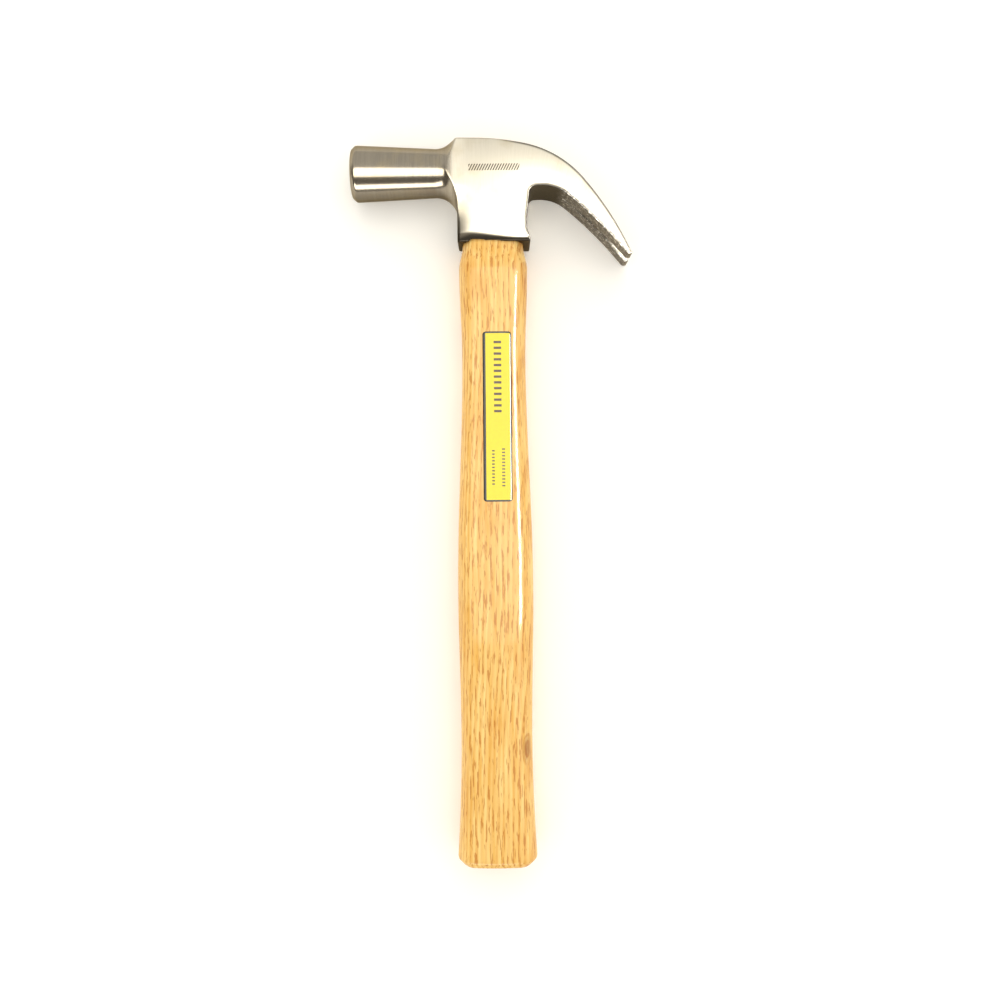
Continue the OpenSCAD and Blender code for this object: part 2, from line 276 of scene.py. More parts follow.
fibre_tone = add(oak, "ShaderNodeMapRange", {"Value": fibres, "From Min": 0.32, "From Max": 0.68})["Result"]
plain_wood = add(oak, "ShaderNodeMix", {
    FACTOR: fibre_tone, COLOUR_A: colour("#E9B45A"), COLOUR_B: colour("#F7D488")},
    data_type="RGBA")[COLOUR_OUT]
blotch_tone = add(oak, "ShaderNodeMapRange", {
    "Value": blotches, "From Min": 0.5, "From Max": 0.72, "To Min": 0.0, "To Max": 0.55})["Result"]
soaked_wood = add(oak, "ShaderNodeMix", {
    FACTOR: blotch_tone, COLOUR_A: plain_wood, COLOUR_B: colour("#DC9A40")}, data_type="RGBA")[COLOUR_OUT]
ring_tone = add(oak, "ShaderNodeMath", {0: porous, 1: 0.35}, operation="MULTIPLY")["Value"]
ringed_wood = add(oak, "ShaderNodeMix", {
    FACTOR: ring_tone, COLOUR_A: soaked_wood, COLOUR_B: colour("#DA9438")}, data_type="RGBA")[COLOUR_OUT]
pore_tone = add(oak, "ShaderNodeMath", {0: pores, 1: 0.62}, operation="MULTIPLY")["Value"]
pored_wood = add(oak, "ShaderNodeMix", {
    FACTOR: pore_tone, COLOUR_A: ringed_wood, COLOUR_B: colour("#B4641A")}, data_type="RGBA")[COLOUR_OUT]
knot_tone = add(oak, "ShaderNodeMath", {0: knot, 1: 0.75}, operation="MULTIPLY")["Value"]
wood_colour = add(oak, "ShaderNodeMix", {
    FACTOR: knot_tone, COLOUR_A: pored_wood, COLOUR_B: colour("#9A5A24")}, data_type="RGBA")[COLOUR_OUT]

lacquer_level = add(oak, "ShaderNodeMath", {
    0: pores, 1: -0.6, 2: add(oak, "ShaderNodeMath", {0: fibres, 1: 0.5}, operation="MULTIPLY")["Value"]},
    operation="MULTIPLY_ADD")["Value"]
sunk_pores = add(oak, "ShaderNodeBump", {
    "Height": lacquer_level, "Strength": 0.35, "Distance": 0.05 * mm})["Normal"]
oak_surface = add(oak, "ShaderNodeBsdfPrincipled", {
    "Base Color": wood_colour, "Roughness": 0.45, "IOR": 1.5, "Specular IOR Level": 0.06,
    "Normal": sunk_pores, "Coat Weight": 0.3, "Coat Roughness": 0.07, "Coat IOR": 1.5})
add(oak, "ShaderNodeOutputMaterial", {"Surface": oak_surface["BSDF"]})

handle.data.materials.append(oak)
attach(handle, "root")
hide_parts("handle")

# ------------------------------------------------------------------------------------------
# Head. One forging of medium-carbon steel: a round poll with a chamfered striking face, an
# eye block and a curved claw split for nails. The poll is ground bright, the cheeks are
# belt-ground to a satin, and the underside keeps its dark forging scale.
# ------------------------------------------------------------------------------------------

head_low, head_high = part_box("head")
head_z = (head_low[2] + head_high[2]) / 2 / mm
half_head = (head_high[2] - head_low[2]) / 2 / mm
poll_y = head_high[1] / mm - half_head
face_x = head_low[0] / mm - axis_x

# Everything about the head is in mm from where the poll's axis crosses the handle's.
POLL_RADIUS = half_head
FACE_RADIUS = 10.7
FACE_CHAMFER = 2.3
FACE_CROWN = 0.25
NECK_RADIUS = 10.9
NECK_FLARE = 10.0
BLOCK_POLL_SIDE = -16.0
RIM = -33.8
CLAW_TIP = -40.5
CROWN = ((-9.9, -102.3), 115.0)
SHOULDER = ((4.29, -37.23), 48.4)
CLAW_OUTSIDE = ((-68.65, -98.87), 143.9)
CLAW_INSIDE = ((-80.13, -152.6), 180.0)
ARCH = ((22.1, -27.7), 18.6)
ARCH_FILLET = ((19.78, -12.38), 3.1)
SOCKET_WALL = ((RIM, 17.1), (RIM + 1, 17.1), (RIM + 6, 15.4), (RIM + 11, 15.4), (-12.38, 16.68))
CHEEK_TILT = 0.1  # slope that the belt leaves toward the edges of a cheek
MOUTH = (14.2, 9.9)
EYE = (12.5, 8.6)
MOUTH_DEPTH = 12
FOOT_RADII = (12, 6)  # the cheeks roll down to the socket's rim, less so on the claw side
FOOT_SHARE = 0.54
CORNER_RADIUS = 24  # and to the poll-side corner of the socket
CORNER_REACH = 9
SLOT_APEX = (31.0, -9.8)
SLOT_HEADING = math.radians(-47)
SLOT_RUN_OUT = 2
SLOT_SPREAD = math.tan(math.radians(4.7))
SLOT_LEAN = math.tan(math.radians(8))


def from_circle(x, y, circle):
    """Distance outside a circle, negative inside it."""
    (middle_x, middle_y), radius = circle
    return np.hypot(x - middle_x, y - middle_y) - radius


def clockwise_of(x, y, circle, degrees):
    """True clockwise of the line that leaves the circle's middle at this angle."""
    (middle_x, middle_y), _ = circle
    angle = math.radians(degrees)
    return math.cos(angle) * (y - middle_y) < math.sin(angle) * (x - middle_x)


def above_top(x, y):
    """Distance above the head's top: a flat, the crown, the shoulder and the claw's outside."""
    out = np.where(x < CROWN[0][0], y - POLL_RADIUS, from_circle(x, y, CROWN))
    out = np.where(clockwise_of(x, y, CROWN, 77.7), from_circle(x, y, SHOULDER), out)
    return np.where(clockwise_of(x, y, SHOULDER, 40.2), from_circle(x, y, CLAW_OUTSIDE), out)


def below_claw(x, y):
    """Distance out of the underside: the claw's inside, the arch, its fillet and the socket."""
    heights, walls = zip(*SOCKET_WALL)
    out = np.where(clockwise_of(x, y, ARCH, 50.7), -from_circle(x, y, CLAW_INSIDE), -from_circle(x, y, ARCH))
    out = np.where(clockwise_of(x, y, ARCH, 98.6), out, -from_circle(x, y, ARCH_FILLET))
    in_socket = (y < ARCH_FILLET[0][1]) & ~clockwise_of(x, y, ARCH, 98.6)
    return np.where(in_socket, x - np.interp(y, heights, walls), out)


def outside_poll(x, out):
    """Distance outside the poll, its flare and the side of the block; out is from its axis."""
    face = face_x + FACE_CROWN * (out / FACE_RADIUS) ** 2 - x
    edge_x, neck_x = face_x + FACE_CHAMFER, BLOCK_POLL_SIDE - NECK_FLARE
    slope = np.hypot(FACE_CHAMFER, POLL_RADIUS - FACE_RADIUS)
    chamfer = ((out - FACE_RADIUS) * FACE_CHAMFER - (x - face_x) * (POLL_RADIUS - FACE_RADIUS)) / slope
    cone = out - POLL_RADIUS + (POLL_RADIUS - NECK_RADIUS) * (x - edge_x) / (neck_x - edge_x)
    flare = NECK_FLARE - np.hypot(x - neck_x, np.minimum(out - NECK_RADIUS - NECK_FLARE, 0))
    body = np.where(x < neck_x, cone, flare)
    return both(both(face, chamfer, 0.5), body, 0.5)


def both(a, b, radius):
    """Distance outside the common part of two solids, with the edge between them rounded."""
    corner = np.hypot(np.maximum(a + radius, 0), np.maximum(b + radius, 0))
    return corner + np.minimum(np.maximum(a, b), -radius)


def smooth(value, low, high):
    """0 below low, 1 above high, and an even turn between them."""
    t = np.clip((value - low) / (high - low), 0, 1)
    return t * t * (3 - 2 * t)


def rolled_off(inward, radius, reach):
    """How far a surface has curved away, at a distance in from its edge."""
    return radius - np.sqrt(radius ** 2 - np.clip(reach - inward, 0, reach + 1) ** 2)


def outside_head(x, y, z):
    """Distance outside the steel, negative inside it. The head is the same on both cheeks."""
    z = np.abs(z)
    top, under, poll = above_top(x, y), below_claw(x, y), outside_poll(x, np.hypot(y, z))
    rim = np.where(x < 30, RIM, CLAW_TIP) - y

    # The belt leaves each cheek slightly domed between its outer and inner edges.
    reach = np.maximum(8 - np.abs(under - rim), 0) / 8
    from_inner = np.minimum(-under, -rim) - reach ** 2 * 2
    width = np.maximum(from_inner - top, 5)
    across = np.clip((from_inner + top) / width, -1.2, 1.2)
    dome = CHEEK_TILT / 4 * width * across ** 2 * smooth(x, BLOCK_POLL_SIDE - 12, BLOCK_POLL_SIDE + 10)
    clear_of_poll = 0.5 * np.maximum(BLOCK_POLL_SIDE - NECK_FLARE - x, 0)
    foot_radius = FOOT_RADII[0] + (FOOT_RADII[1] - FOOT_RADII[0]) * smooth(x, -14, 12)
    roll_down = rolled_off(y - RIM, foot_radius, FOOT_SHARE * foot_radius) * (x < 25)
    roll_aside = rolled_off(x - BLOCK_POLL_SIDE, CORNER_RADIUS, CORNER_REACH)
    roll_aside *= smooth(-y, 8, 24) * (x > BLOCK_POLL_SIDE - 3)
    cheek = z - (half_head - dome - np.hypot(roll_down, roll_aside)) - clear_of_poll

    side = both(cheek, poll, 0.5 + 1.2 * smooth(-y, 18, 26))
    foot = both(cheek, rim, 0.7)
    outline = both(top - clear_of_poll, under, 0.4)
    steel = both(both(side, foot, 0.7), outline, 0.55)

    taper = 1 - np.clip((y - RIM) / MOUTH_DEPTH, 0, 1)
    eye_x = EYE[0] + (MOUTH[0] - EYE[0]) * taper
    eye_z = EYE[1] + (MOUTH[1] - EYE[1]) * taper
    eye = np.maximum(np.hypot(x, z) - eye_x, z - eye_z)
    steel = both(steel, -eye, 0.35)

    along = (x - SLOT_APEX[0]) * math.cos(SLOT_HEADING) + (y - SLOT_APEX[1]) * math.sin(SLOT_HEADING)
    depth = (SLOT_APEX[0] - x) * math.sin(SLOT_HEADING) + (y - SLOT_APEX[1]) * math.cos(SLOT_HEADING)
    slot = np.minimum(SLOT_SPREAD * along - SLOT_LEAN * depth - z, x - (SLOT_APEX[0] - SLOT_RUN_OUT))
    return both(steel, slot, 0.3)


def slope_of(distance, points, step=0.02):
    """Gradient of a distance at an array of points."""
    parts = []
    for axis in range(3):
        shift = np.zeros(3)
        shift[axis] = step
        parts.append((distance(*(points + shift).T) - distance(*(points - shift).T)) / (2 * step))
    return np.stack(parts, axis=1)


def settle(distance, points):
    """Moves points along the gradient until they lie on the surface."""
    for _ in range(4):
        slope = slope_of(distance, points)
        length = np.maximum((slope ** 2).sum(1), 0.2)
        points = points - (distance(*points.T) / length)[:, None] * slope
    return points


def skin(distance, low, high, pitch):
    """Points and square faces of the surface where distance is zero, by naive surface nets."""
    axes = [np.arange(a, b + pitch, pitch) for a, b in zip(low, high)]
    values = distance(*np.meshgrid(*axes, indexing="ij"))
    cells = tuple(n - 1 for n in values.shape)
    total, hits = np.zeros(cells + (3,)), np.zeros(cells)

    def corner(offset):
        return values[tuple(slice(o, o + n) for o, n in zip(offset, cells))]

    for start in np.ndindex(2, 2, 2):
        for axis in range(3):
            if start[axis] == 1:
                continue
            end = tuple(s + (a == axis) for a, s in enumerate(start))
            first, second = corner(start), corner(end)
            crossed = (first < 0) != (second < 0)
            share = np.where(crossed, first / np.where(crossed, first - second, 1), 0)
            for a in range(3):
                total[..., a] += crossed * (start[a] + (share if a == axis else 0))
            hits += crossed
    live = hits > 0
    number = np.full(cells, -1)
    number[live] = np.arange(live.sum())
    points = np.array(low) + pitch * (np.argwhere(live) + total[live] / hits[live][:, None])

    faces = []
    for axis in range(3):
        u, v = (axis + 1) % 3, (axis + 2) % 3
        inside = values < 0
        here = [slice(1, n) for n in cells]
        here[axis] = slice(0, cells[axis])
        ahead = list(here)
        ahead[axis] = slice(1, cells[axis] + 1)
        leaving, entering = inside[tuple(here)], inside[tuple(ahead)]
        for sign in (1, -1):
            edges = np.argwhere((leaving & ~entering) if sign > 0 else (~leaving & entering))
            base = edges + [0 if a == axis else 1 for a in range(3)]
            ring = []
            for du, dv in ((1, 1), (0, 1), (0, 0), (1, 0)):
                cell = base.copy()
                cell[:, u] -= du
                cell[:, v] -= dv
                ring.append(number[tuple(cell.T)])
            faces.append(np.stack(ring[::sign], axis=1))
    return points, np.concatenate(faces)


def relax(points, faces):
    """Moves each point to the mean of its neighbours, which evens out the faces."""
    pairs = np.concatenate([faces[:, [i, (i + 1) % 4]] for i in range(4)])
    total, count = np.zeros_like(points), np.zeros(len(points))
    for a, b in ((0, 1), (1, 0)):
        np.add.at(total, pairs[:, a], points[pairs[:, b]])
        np.add.at(count, pairs[:, a], 1)
    return 0.4 * points + 0.6 * total / count[:, None]


HEAD_PITCH = 0.5
head_reach = [(low - 1.03, high + 1.07) for low, high in
              ((face_x, head_high[0] / mm - axis_x), (CLAW_TIP, POLL_RADIUS), (-half_head, half_head))]
points, faces = skin(outside_head, *zip(*head_reach), HEAD_PITCH)
points = settle(outside_head, points)
for _ in range(3):
    points = settle(outside_head, relax(points, faces))
normals = slope_of(outside_head, points)
normals /= np.maximum(np.linalg.norm(normals, axis=1), 1e-6)[:, None]

# Where each finish and the painted shade lie, from 0 to 1 at each point. Scale is left on the underside, and
# it is knocked about from the slot's apex to the tip. A brown-black band darkens a line along the claw's two
# edges, the foot of the cheeks, their poll side, and the side of the poll toward the butt: partly tarnish,
# and partly painted shade and painted dark reflection on faces that turn away from the light.
x, y, _ = points.T
under = below_claw(x, y)
scale_cover = smooth(under, -0.9, -0.3)
tip_cover = smooth(x, SLOT_APEX[0] - 2, SLOT_APEX[0] + 3)
claw_edge = (1 - smooth(-under, 0.4, 1.5)) * (x > 8)
top_line = (1 - smooth(-above_top(x, y), 0.5, 1.3)) * smooth(x, 0, 14)
# Painted dark reflection, with some tarnish, along the foot of the cheeks, where the rounded edge turns
# toward the dark front.
foot_width = 4.4 - 2.8 * smooth(x, -14, 12)
foot_line = (1 - smooth(y - RIM, 0.75 * foot_width, 1.3 * foot_width)) * (x < 25)
poll_side = (1 - smooth(x - BLOCK_POLL_SIDE, 0, 11)) * smooth(-y, 8, 30) * (x > BLOCK_POLL_SIDE - 1)
# Painted shade: the side of the poll that faces toward the butt is darkened by the way its surface faces.
poll_underside_shade = smooth(-normals[:, 1], 0.7, 0.95) * (x < BLOCK_POLL_SIDE)
edge_cover = np.maximum.reduce([claw_edge, 0.8 * top_line, foot_line, 0.94 * poll_side, 0.45 * poll_underside_shade])

head_middle = np.array([axis_x, poll_y, head_z])
mesh = bpy.data.meshes.new("forged_head")
mesh.from_pydata((points + head_middle) * mm, [], faces.tolist())
mesh.polygons.foreach_set("use_smooth", [True] * len(mesh.polygons))
mesh.normals_split_custom_set_from_vertices(normals.tolist())
finish_and_shade_covers = {"forging_scale": scale_cover, "edge_tarnish_and_shade": edge_cover, "hammered_tip": tip_cover}
for name, cover in finish_and_shade_covers.items():
    mesh.attributes.new(name, "FLOAT", "POINT").data.foreach_set("value", cover.astype(np.float32))
head = bpy.data.objects.new("forged_head", mesh)
bpy.context.collection.objects.link(head)

# Ground steel under a thin clear lacquer: warm grey metal. Turned rings run round the poll,
# belt lines run down the cheeks and fan toward the claw, and the underside is scale-black.
steel = empty_material("forged_steel_ground_and_lacquered")
place = add(steel, "ShaderNodeTexCoord")["Object"]
from_middle = add(steel, "ShaderNodeVectorMath", {
    0: place, 1: tuple(c * mm for c in head_middle)}, operation="SUBTRACT")["Vector"]
spot = add(steel, "ShaderNodeSeparateXYZ", {"Vector": from_middle})
scale_here = add(steel, "ShaderNodeAttribute", attribute_name="forging_scale")["Fac"]
tarnish_and_shade_here = add(steel, "ShaderNodeAttribute", attribute_name="edge_tarnish_and_shade")["Fac"]
tip_here = add(steel, "ShaderNodeAttribute", attribute_name="hammered_tip")["Fac"]
on_poll = add(steel, "ShaderNodeMapRange", {
    "Value": spot["X"], "From Min": -17 * mm, "From Max": -21 * mm},
    interpolation_type="SMOOTHSTEP")["Result"]

# Belt lines fan from a point 160 mm below the head: angle across, distance along.
FAN = (-6 * mm, -160 * mm)
fan_x = add(steel, "ShaderNodeMath", {0: spot["X"], 1: FAN[0]}, operation="SUBTRACT")["Value"]
fan_y = add(steel, "ShaderNodeMath", {0: spot["Y"], 1: FAN[1]}, operation="SUBTRACT")["Value"]
fan_angle = add(steel, "ShaderNodeMath", {0: fan_x, 1: fan_y}, operation="ARCTAN2")["Value"]
fan_across = add(steel, "ShaderNodeMath", {0: fan_angle, 1: 160 * mm}, operation="MULTIPLY")["Value"]
fan_place = add(steel, "ShaderNodeCombineXYZ", {"X": fan_across, "Y": fan_y, "Z": spot["Z"]})["Vector"]
belt_lines = add(steel, "ShaderNodeTexNoise", {
    "Vector": add(steel, "ShaderNodeMapping", {
        "Vector": fan_place, "Scale": (1 / (0.45 * mm), 1 / (16 * mm), 1 / (3 * mm))})["Vector"],
    "Scale": 1, "Detail": 3, "Roughness": 0.6})["Fac"]
# Turned rings are about 0.1 mm apart; drawn 0.4 mm apart so that they show.
turned_rings = add(steel, "ShaderNodeTexNoise", {
    "Vector": add(steel, "ShaderNodeMapping", {
        "Vector": from_middle, "Scale": (1 / (0.4 * mm), 1 / (22 * mm), 1 / (22 * mm))})["Vector"],
    "Scale": 1, "Detail": 2, "Roughness": 0.5})["Fac"]
ground_lines = add(steel, "ShaderNodeMix", {0: on_poll, 2: belt_lines, 3: turned_rings}, data_type="FLOAT")[0]
clouding = add(steel, "ShaderNodeTexNoise", {
    "Vector": from_middle, "Scale": 1 / (9 * mm), "Detail": 3, "Roughness": 0.5})["Fac"]

poll_steel = add(steel, "ShaderNodeMix", {
    FACTOR: turned_rings, COLOUR_A: colour("#8A8172"), COLOUR_B: colour("#A49B8B")},
    data_type="RGBA")[COLOUR_OUT]
cheek_steel = add(steel, "ShaderNodeMix", {
    FACTOR: belt_lines, COLOUR_A: colour("#B4AC9B"), COLOUR_B: colour("#C6BFAF")},
    data_type="RGBA")[COLOUR_OUT]
lined_steel = add(steel, "ShaderNodeMix", {
    FACTOR: on_poll, COLOUR_A: cheek_steel, COLOUR_B: poll_steel}, data_type="RGBA")[COLOUR_OUT]
cloud_tone = add(steel, "ShaderNodeMapRange", {
    "Value": clouding, "From Min": 0.48, "From Max": 0.75, "To Min": 0.0, "To Max": 0.5})["Result"]
ground_steel = add(steel, "ShaderNodeMix", {
    FACTOR: cloud_tone, COLOUR_A: lined_steel, COLOUR_B: colour("#A89A7C")}, data_type="RGBA")[COLOUR_OUT]
# Brown-black band 1 to 5 mm wide along the edges, under the lacquer: partly tarnish, and partly painted shade
# and painted dark reflection.
tarnish_and_shade_tone = add(steel, "ShaderNodeMath", {0: tarnish_and_shade_here, 1: 0.97}, operation="MULTIPLY")["Value"]
tarnished_and_shaded_steel = add(steel, "ShaderNodeMix", {
    FACTOR: tarnish_and_shade_tone, COLOUR_A: ground_steel, COLOUR_B: colour("#29241D")}, data_type="RGBA")[COLOUR_OUT]

# An etched band of slanted hatching, 23 by 3 mm, 1.2 mm to a line, on the upper cheek only.
hatch_phase = add(steel, "ShaderNodeMath", {
    0: add(steel, "ShaderNodeMath", {
        0: add(steel, "ShaderNodeMath", {
            0: spot["Y"], 1: -0.5, 2: spot["X"]}, operation="MULTIPLY_ADD")["Value"],
        1: 1.2 * mm}, operation="DIVIDE")["Value"]},
    operation="FRACT")["Value"]
hatch_line = add(steel, "ShaderNodeMath", {0: hatch_phase, 1: 0.5}, operation="LESS_THAN")["Value"]
band_x = add(steel, "ShaderNodeMath", {0: spot["X"], 1: 0.8 * mm, 2: 11.5 * mm}, operation="COMPARE")["Value"]
band_y = add(steel, "ShaderNodeMath", {0: spot["Y"], 1: -0.9 * mm, 2: 1.5 * mm}, operation="COMPARE")["Value"]
upper_cheek = add(steel, "ShaderNodeMath", {0: spot["Z"], 1: 9 * mm}, operation="GREATER_THAN")["Value"]
band = add(steel, "ShaderNodeMath", {0: band_x, 1: band_y}, operation="MULTIPLY")["Value"]
band_up = add(steel, "ShaderNodeMath", {0: band, 1: upper_cheek}, operation="MULTIPLY")["Value"]
etched = add(steel, "ShaderNodeMath", {0: band_up, 1: hatch_line}, operation="MULTIPLY")["Value"]
etch_tone = add(steel, "ShaderNodeMath", {0: etched, 1: 0.95}, operation="MULTIPLY")["Value"]
etched_steel = add(steel, "ShaderNodeMix", {
    FACTOR: etch_tone, COLOUR_A: tarnished_and_shaded_steel, COLOUR_B: colour("#3A332A")}, data_type="RGBA")[COLOUR_OUT]

scale_grain = add(steel, "ShaderNodeTexNoise", {
    "Vector": from_middle, "Scale": 1 / (1.3 * mm), "Detail": 5, "Roughness": 0.65})["Fac"]
# Past the slot's apex the scale is knocked off in places, and the bare steel glints.
bare_spots = add(steel, "ShaderNodeMapRange", {
    "Value": scale_grain, "From Min": 0.54, "From Max": 0.62}, interpolation_type="SMOOTHSTEP")["Result"]
bare_here = add(steel, "ShaderNodeMath", {0: bare_spots, 1: tip_here}, operation="MULTIPLY")["Value"]
worn_scale = add(steel, "ShaderNodeMix", {
    FACTOR: tip_here, COLOUR_A: colour("#524E47"), COLOUR_B: colour("#75716A")}, data_type="RGBA")[COLOUR_OUT]
scale_steel = add(steel, "ShaderNodeMix", {
    FACTOR: bare_here, COLOUR_A: worn_scale, COLOUR_B: colour("#E0DACE")}, data_type="RGBA")[COLOUR_OUT]
head_colour = add(steel, "ShaderNodeMix", {
    FACTOR: scale_here, COLOUR_A: etched_steel, COLOUR_B: scale_steel}, data_type="RGBA")[COLOUR_OUT]

line_roughness = add(steel, "ShaderNodeMapRange", {
    "Value": ground_lines, "From Min": 0.3, "From Max": 0.7, "To Min": 0.34, "To Max": 0.29})["Result"]
ground_roughness = add(steel, "ShaderNodeMix", {0: on_poll, 2: line_roughness, 3: 0.18}, data_type="FLOAT")[0]
etch_roughness = add(steel, "ShaderNodeMix", {0: etched, 2: ground_roughness, 3: 0.55}, data_type="FLOAT")[0]
head_roughness = add(steel, "ShaderNodeMix", {
    0: scale_here, 2: etch_roughness, 3: 0.38}, data_type="FLOAT")[0]

line_height = add(steel, "ShaderNodeMath", {0: ground_lines, 1: 0.007 * mm}, operation="MULTIPLY")["Value"]
scale_depth = add(steel, "ShaderNodeMix", {0: tip_here, 2: 0.1 * mm, 3: 0.9 * mm}, data_type="FLOAT")[0]
scale_height = add(steel, "ShaderNodeMath", {0: scale_grain, 1: scale_depth}, operation="MULTIPLY")["Value"]
surface_height = add(steel, "ShaderNodeMix", {
    0: scale_here, 2: line_height, 3: scale_height}, data_type="FLOAT")[0]
tooled = add(steel, "ShaderNodeBump", {"Height": surface_height, "Strength": 1.0, "Distance": 1.0})["Normal"]
steel_surface = add(steel, "ShaderNodeBsdfPrincipled", {
    "Base Color": head_colour, "Metallic": 1.0, "Roughness": head_roughness, "Normal": tooled,
    "Specular Tint": colour("#C9BFAE")})
add(steel, "ShaderNodeOutputMaterial", {"Surface": steel_surface["BSDF"]})

head.data.materials.append(steel)
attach(head, "root")
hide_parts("head")

# ------------------------------------------------------------------------------------------
# Wooden wedge. A sawn hardwood wedge driven down the tenon's kerf and cut off flush, so only
# its end grain shows in the eye.
# ------------------------------------------------------------------------------------------

wedge_wood = empty_material("beech_sawn_end_grain")
place = add(wedge_wood, "ShaderNodeTexCoord")["Object"]
saw_marks = add(wedge_wood, "ShaderNodeTexNoise", {
    "Vector": add(wedge_wood, "ShaderNodeMapping", {
        "Vector": place, "Scale": (1 / (0.5 * mm), 1 / (6 * mm), 1 / (2.5 * mm))})["Vector"],
    "Scale": 1, "Detail": 4, "Roughness": 0.6})["Fac"]
end_grain = add(wedge_wood, "ShaderNodeMix", {
    FACTOR: saw_marks, COLOUR_A: colour("#8A5A30"), COLOUR_B: colour("#D2A066")},
    data_type="RGBA")[COLOUR_OUT]
sawn = add(wedge_wood, "ShaderNodeBump", {
    "Height": saw_marks, "Strength": 0.5, "Distance": 0.1 * mm})["Normal"]
wedge_surface = add(wedge_wood, "ShaderNodeBsdfPrincipled", {
    "Base Color": end_grain, "Roughness": 0.6, "IOR": 1.5, "Normal": sawn,
    "Coat Weight": 0.4, "Coat Roughness": 0.2})
add(wedge_wood, "ShaderNodeOutputMaterial", {"Surface": wedge_surface["BSDF"]})
wooden_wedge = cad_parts["wood_wedge"]
wooden_wedge.data.materials.clear()
wooden_wedge.data.materials.append(wedge_wood)

# ------------------------------------------------------------------------------------------
# Steel wedges. Two pieces of mild steel, sheared from strip and driven across the wooden
# wedge. Their tops are bruised by the hammer that drove them and dull from handling.
# ------------------------------------------------------------------------------------------

wedge_steel = empty_material("mild_steel_sheared")
place = add(wedge_steel, "ShaderNodeTexCoord")["Object"]
bruises = add(wedge_steel, "ShaderNodeTexNoise", {
    "Vector": place, "Scale": 1 / (1.2 * mm), "Detail": 4, "Roughness": 0.6})["Fac"]
bruised_colour = add(wedge_steel, "ShaderNodeMix", {
    FACTOR: bruises, COLOUR_A: colour("#5E5850"), COLOUR_B: colour("#A39A8C")}, data_type="RGBA")[COLOUR_OUT]
bruised_roughness = add(wedge_steel, "ShaderNodeMapRange", {
    "Value": bruises, "From Min": 0.3, "From Max": 0.7, "To Min": 0.55, "To Max": 0.3})["Result"]
bruised = add(wedge_steel, "ShaderNodeBump", {
    "Height": bruises, "Strength": 0.6, "Distance": 0.15 * mm})["Normal"]
wedge_steel_surface = add(wedge_steel, "ShaderNodeBsdfPrincipled", {
    "Base Color": bruised_colour, "Metallic": 1.0, "Roughness": bruised_roughness, "Normal": bruised})
add(wedge_steel, "ShaderNodeOutputMaterial", {"Surface": wedge_steel_surface["BSDF"]})
for name in ("steel_wedge_1", "steel_wedge_2"):
    steel_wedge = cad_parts[name]
    steel_wedge.data.materials.clear()
    steel_wedge.data.materials.append(wedge_steel)

# ------------------------------------------------------------------------------------------
# Label. A printed film sticker with rounded corners on the upper flat. It takes the flat's
# slight dome. The print is a black frame round a yellow field with plain dark bars.
# ------------------------------------------------------------------------------------------

label_low, label_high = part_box("label")
label_x = (label_low[0] + label_high[0]) / 2 / mm
label_y = (label_low[1] + label_high[1]) / 2 / mm
LABEL_WIDTH = (label_high[0] - label_low[0]) / mm
LABEL_LENGTH = (label_high[1] - label_low[1]) / mm
LABEL_CORNER = 1.4
LABEL_THICKNESS = 0.16


def upper_flat(x, y):
    """Height of the handle's upper flat above the bench."""
    _, half_thickness, _ = handle_size(y - butt_y)
    return axis_z + half_thickness - (x - axis_x) ** 2 / 2 / FLAT_CROWN_RADIUS


def label_half_width(along):
    """Half width of the label at a distance from its middle, less where the corners turn."""
    into_corner = max(abs(along) - (LABEL_LENGTH / 2 - LABEL_CORNER), 0)
    return LABEL_WIDTH / 2 - LABEL_CORNER + math.sqrt(max(LABEL_CORNER ** 2 - into_corner ** 2, 0))


turns = [LABEL_LENGTH / 2 - LABEL_CORNER * (1 - math.sin(a)) for a in np.linspace(0, math.pi / 2, 7)]
rows = [-t for t in reversed(turns)] + list(np.linspace(-turns[0], turns[0], 50)[1:-1]) + turns
ACROSS = 16
points, faces = [], []
for along in rows:
    half = label_half_width(along)
    for side in (0, LABEL_THICKNESS):
        for i in range(ACROSS + 1):
            x = label_x + half * (2 * i / ACROSS - 1)
            bevel = 0.07 if side and i in (0, ACROSS) else 0
            height = upper_flat(x, label_y + along) + side - bevel - 0.02
            points.append(tuple(c * mm for c in (x, label_y + along, height)))
per_side = ACROSS + 1
for r in range(len(rows) - 1):
    under, over = r * 2 * per_side, (r * 2 + 1) * per_side
    ahead = 2 * per_side
    for i in range(ACROSS):
        faces.append((under + i, under + ahead + i, under + ahead + i + 1, under + i + 1))
        faces.append((over + i, over + i + 1, over + ahead + i + 1, over + ahead + i))
    faces.append((under, over, over + ahead, under + ahead))
    faces.append((under + ACROSS, under + ahead + ACROSS, over + ahead + ACROSS, over + ACROSS))
for start, order in ((0, 1), ((len(rows) - 1) * 2 * per_side, -1)):
    for i in range(ACROSS):
        faces.append((start + i, start + i + 1, start + per_side + i + 1, start + per_side + i)[::order])
mesh = bpy.data.meshes.new("film_label")
mesh.from_pydata(points, [], faces)
mesh.polygons.foreach_set("use_smooth", [True] * len(mesh.polygons))
label = bpy.data.objects.new("film_label", mesh)
bpy.context.collection.objects.link(label)

# Printed film: opaque inks under a clear gloss face, so the colours are flat and the shine is even.
film = empty_material("polyester_film_printed")
place = add(film, "ShaderNodeTexCoord")["Object"]
on_label = add(film, "ShaderNodeVectorMath", {
    0: place, 1: (label_x * mm, label_y * mm, 0)}, operation="SUBTRACT")["Vector"]
spot = add(film, "ShaderNodeSeparateXYZ", {"Vector": on_label})


